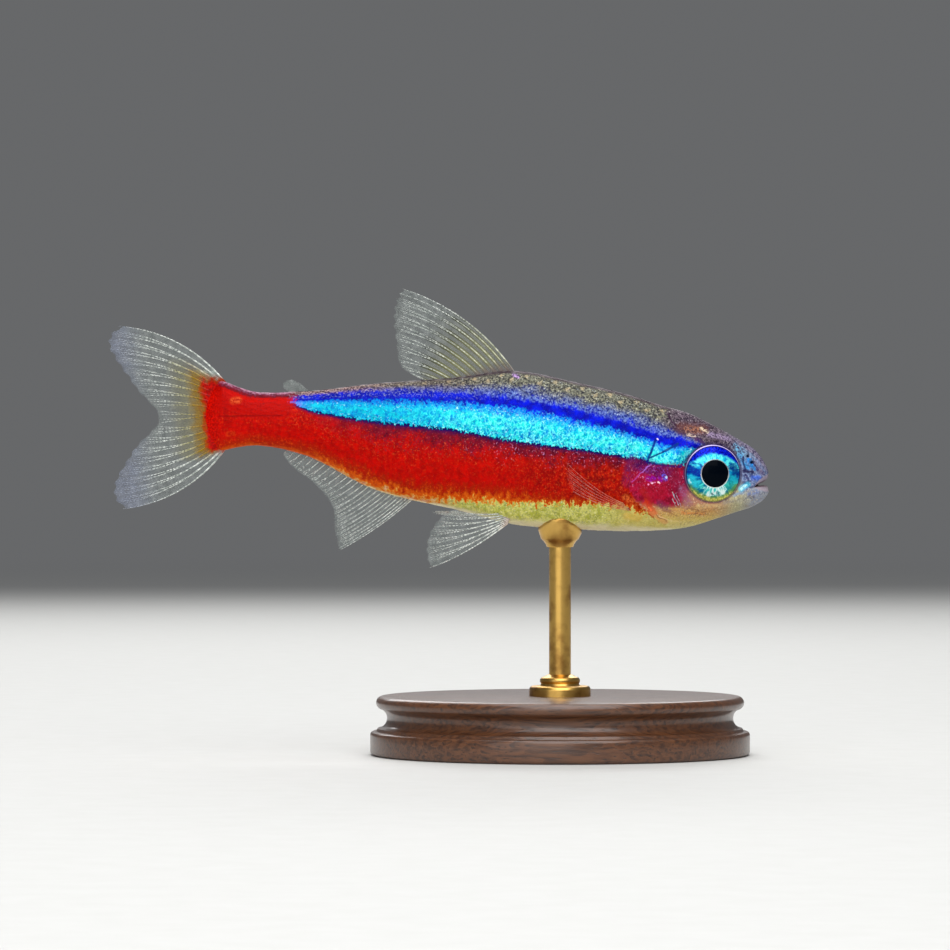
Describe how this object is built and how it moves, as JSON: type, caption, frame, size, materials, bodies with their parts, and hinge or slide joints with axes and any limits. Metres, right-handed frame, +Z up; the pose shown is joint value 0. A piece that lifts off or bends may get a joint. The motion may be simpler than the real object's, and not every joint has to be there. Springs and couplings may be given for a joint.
{
  "type": "cardinal tetra display model",
  "caption": "Life-size model of a cardinal tetra swimming, blue flank stripe over red, held by a rod on a round turned base.",
  "frame": {"origin": "centre of the stand's flat underside, under the rod", "axes": "+X towards the fish's snout, +Y to its left, +Z up"},
  "size_m": [0.0452, 0.026, 0.0319],
  "materials": {
    "skin": "wet scaled skin: olive back, blue stripe, red lower flank, pale belly",
    "fin": "clear membrane with pale rays",
    "eye": "wet, black pupil in a blue-green metallic iris",
    "wood": "dark, satin varnish",
    "brass": "satin, turned"
  },
  "bodies": {
    "root": {"head": "skin", "trunk": "skin", "tail": "skin", "tail_stalk": "skin", "eye_left": "eye", "eye_right": "eye", "dorsal_fin": "fin", "adipose_fin": "fin", "caudal_fin": "fin", "anal_fin": "fin", "pelvic_fin_left": "fin", "pelvic_fin_right": "fin", "pectoral_fin_left": "fin", "pectoral_fin_right": "fin", "stand_base": "wood", "stand_collar": "brass", "stand_rod": "brass", "stand_saddle": "brass"}
  },
  "joints": []
}
